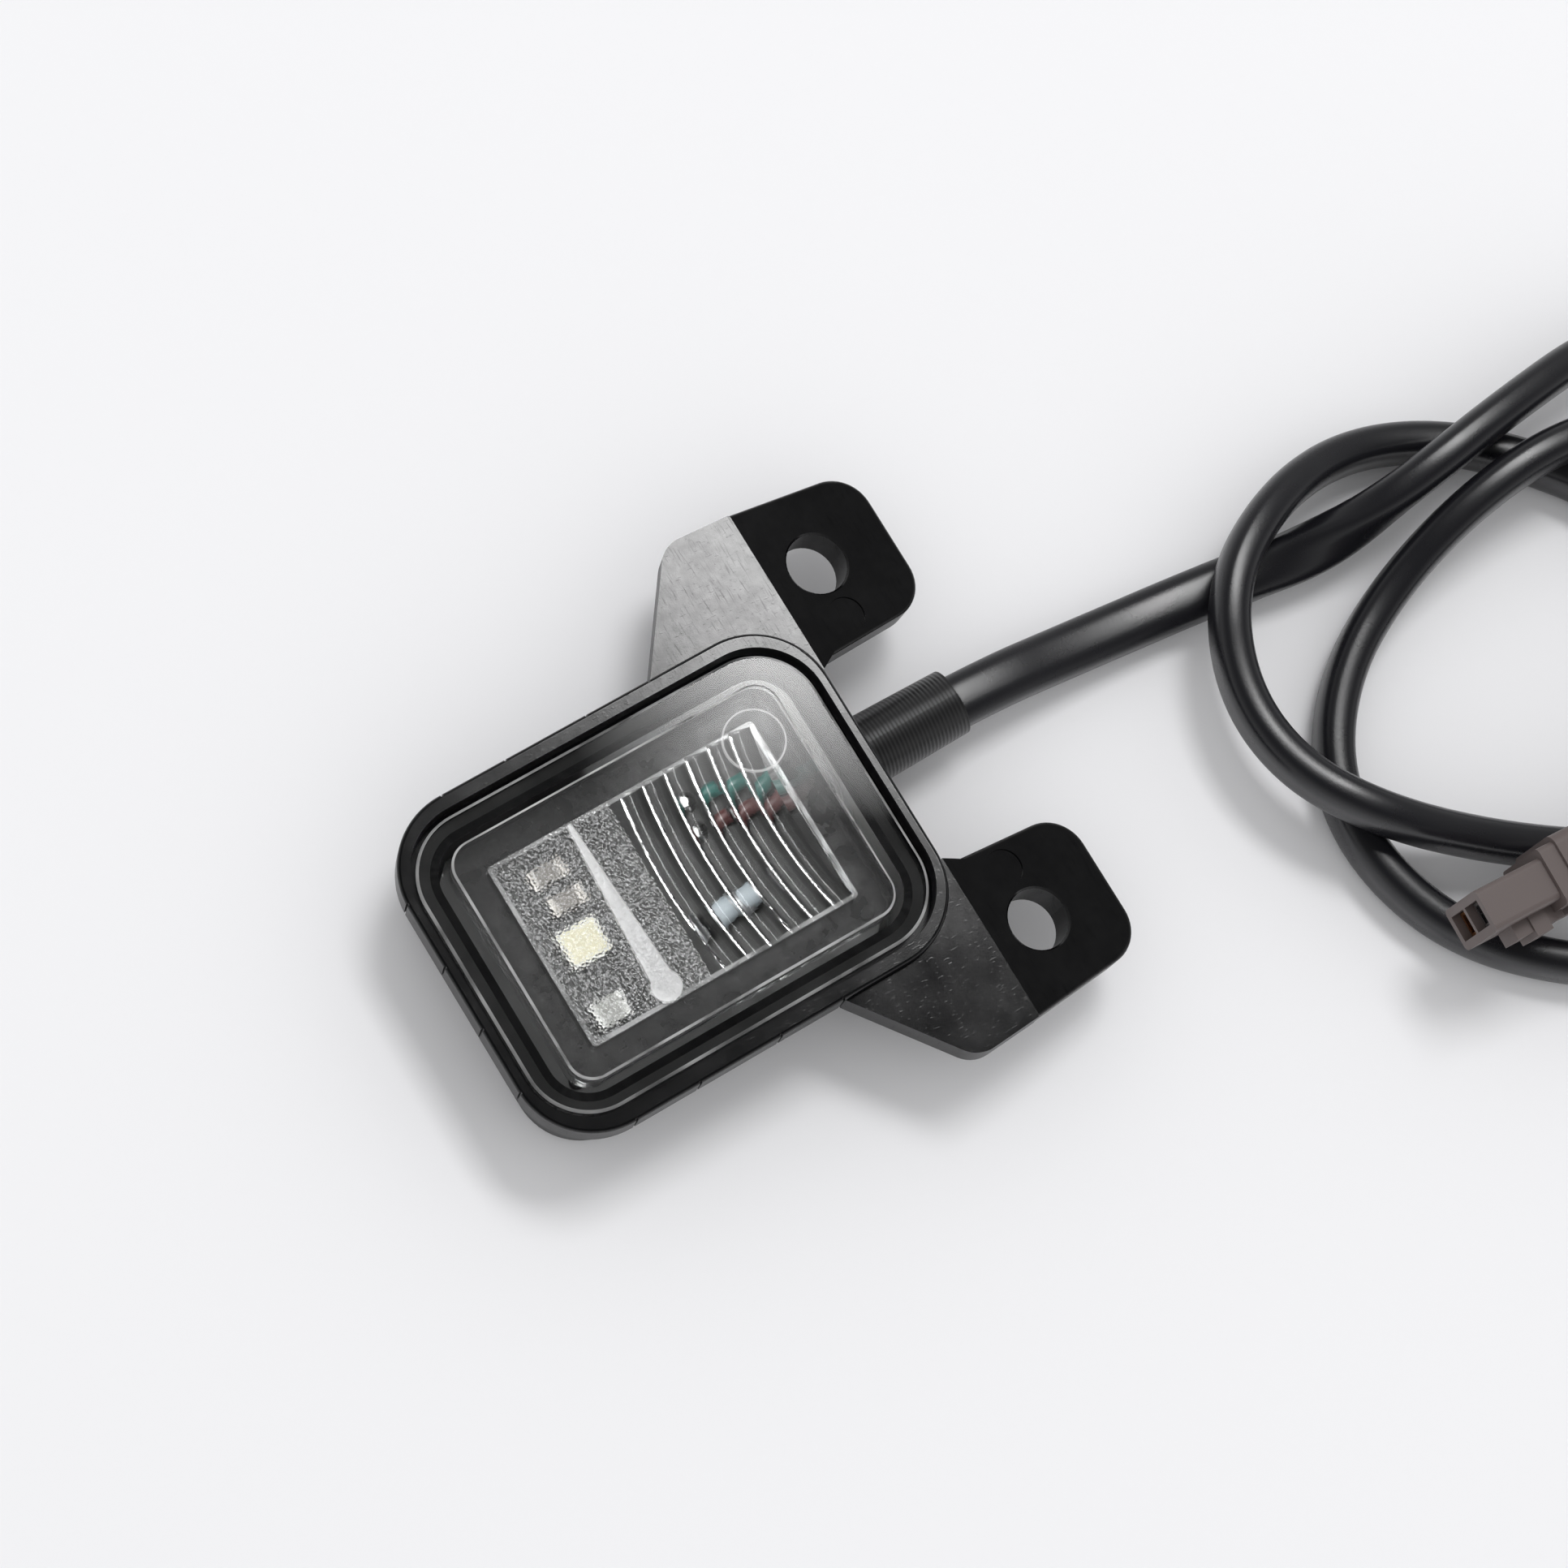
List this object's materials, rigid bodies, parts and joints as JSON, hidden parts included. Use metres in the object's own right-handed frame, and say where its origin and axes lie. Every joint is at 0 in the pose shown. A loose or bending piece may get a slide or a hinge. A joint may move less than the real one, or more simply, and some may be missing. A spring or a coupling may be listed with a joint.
{
  "type": "number plate lamp",
  "caption": "Small black number plate lamp with a clear fluted lens, folded ears with screw holes and a loose cable ending in a connector.",
  "frame": {"origin": "on the flat back under the middle of the rim", "axes": "+X along the rim towards the cable, +Y towards one ear, +Z out of the lens"},
  "size_m": [0.142, 0.0758, 0.0145],
  "materials": {
    "housing_black": "satin black moulded plastic",
    "lens_clear": "clear moulded plastic",
    "seal_rubber": "black rubber",
    "board_black": "black solder mask",
    "led_white": "white package",
    "phosphor_yellow": "pale yellow phosphor",
    "chip_ceramic": "ceramic with tinned ends",
    "capacitor_ceramic": "pale ceramic with tinned ends",
    "diode_metal": "glass body with tinned ends",
    "solder_tin": "solder",
    "core_green": "teal insulation",
    "core_red": "red insulation",
    "sleeve_black": "black rubber",
    "cable_black": "satin black cable jacket",
    "connector_taupe": "taupe moulded plastic",
    "lock_taupe": "taupe moulded plastic",
    "contact_tin": "tinned contact",
    "contact_copper": "copper coloured contact",
    "wire_seal_rubber": "dark rubber"
  },
  "bodies": {
    "root": {"housing": "housing_black", "lens": "lens_clear", "lens_seal": "seal_rubber", "circuit_board": "board_black", "led_package": "led_white", "led_phosphor": "phosphor_yellow", "resistor_upper": "chip_ceramic", "resistor_lower": "chip_ceramic", "capacitor": "capacitor_ceramic", "diode": "diode_metal", "solder_joints": "solder_tin", "core_green": "core_green", "core_red": "core_red", "cable_sleeve": "sleeve_black", "cable": "cable_black", "connector_housing": "connector_taupe", "connector_lock": "lock_taupe", "contact_upper": "contact_tin", "contact_lower": "contact_copper", "wire_seal": "wire_seal_rubber"}
  },
  "joints": []
}
